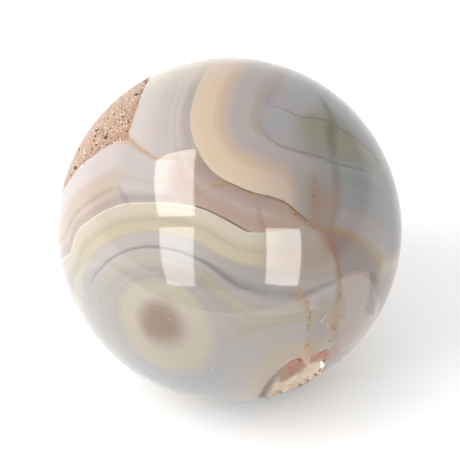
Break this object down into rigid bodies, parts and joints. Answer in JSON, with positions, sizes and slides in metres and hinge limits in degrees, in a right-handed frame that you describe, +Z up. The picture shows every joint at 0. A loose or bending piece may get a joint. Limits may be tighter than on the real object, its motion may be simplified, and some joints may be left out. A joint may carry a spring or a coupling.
{
  "type": "agate geode sphere",
  "caption": "Polished ball of banded agate with a flush patch of pitted matrix and a shallow open pocket lined with small crystals.",
  "frame": {"origin": "middle of the small flat under the ball, on the surface that it rests on", "axes": "+Z up out of the surface it rests on, -Y towards the viewer of the patterned face, +X to that viewer's right"},
  "size_m": [0.06, 0.06, 0.0596],
  "materials": {
    "agate": "polished stone, cloudy, with curved bands of cream, lilac and blue grey",
    "quartz_crust": "small cream crystals with a red brown stain"
  },
  "bodies": {
    "root": {"agate_sphere": "agate", "pocket_crystals": "quartz_crust"}
  },
  "joints": []
}
